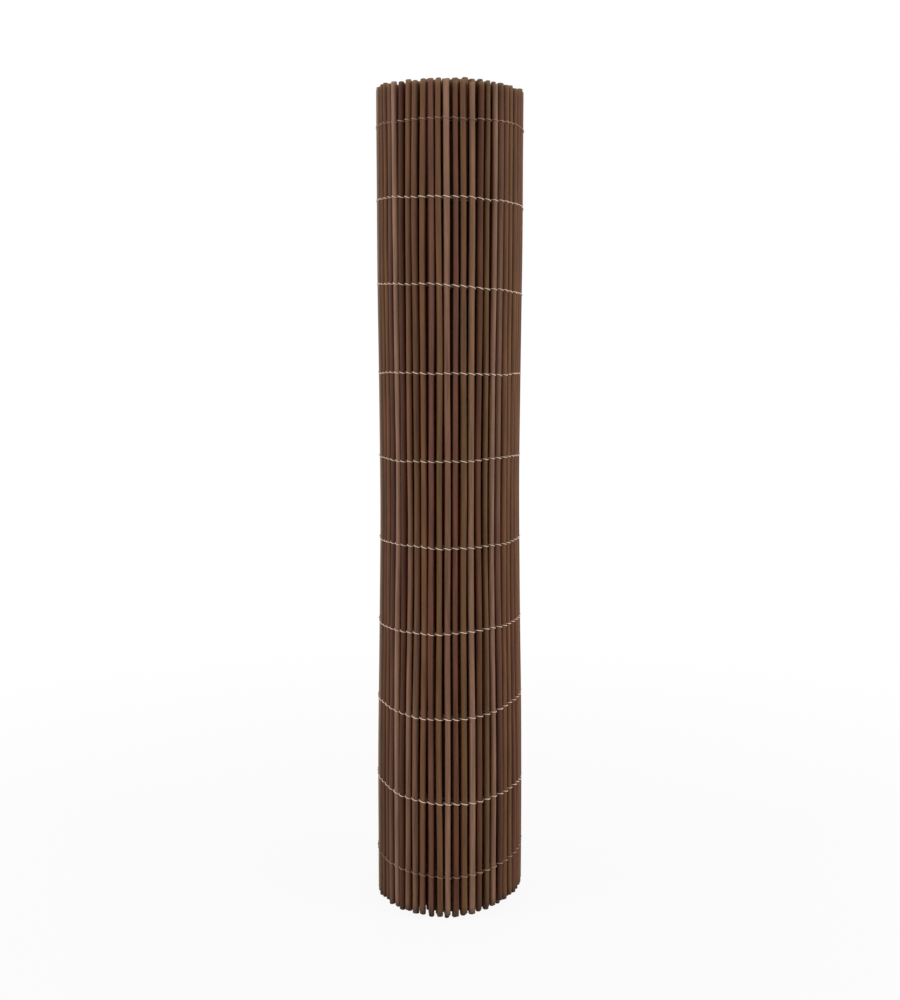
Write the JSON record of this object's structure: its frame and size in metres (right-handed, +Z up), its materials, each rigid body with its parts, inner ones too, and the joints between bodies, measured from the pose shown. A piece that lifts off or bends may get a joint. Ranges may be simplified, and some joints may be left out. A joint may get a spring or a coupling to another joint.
{
  "type": "rolled privacy screen",
  "caption": "Rolled-up privacy screen: a mat of thin brown willow-look rods bound by rows of twisted wire, standing on its end, for fastening along a fence or railing.",
  "frame": {"origin": "middle of the roll's reach, on the surface that its lowest rods stand on", "axes": "+Z up along the roll's axis, -Y towards the viewer of the picture, +Y towards the mat's free edge"},
  "size_m": [0.182, 0.1864, 1],
  "materials": {
    "rods": "brown willow-look plastic rods, matt, each of its own shade",
    "wire": "thin pale coated wire, twisted in pairs"
  },
  "bodies": {
    "root": {"rods_turn_1": "rods", "rods_turn_2": "rods", "rods_turn_3": "rods", "rods_turn_4": "rods", "rods_turn_5": "rods", "rods_turn_6": "rods", "rods_turn_7": "rods", "rods_turn_8": "rods", "rods_turn_9": "rods", "binding_wire_1": "wire", "binding_wire_2": "wire", "binding_wire_3": "wire", "binding_wire_4": "wire", "binding_wire_5": "wire", "binding_wire_6": "wire", "binding_wire_7": "wire", "binding_wire_8": "wire", "binding_wire_9": "wire", "binding_wire_10": "wire"}
  },
  "joints": []
}
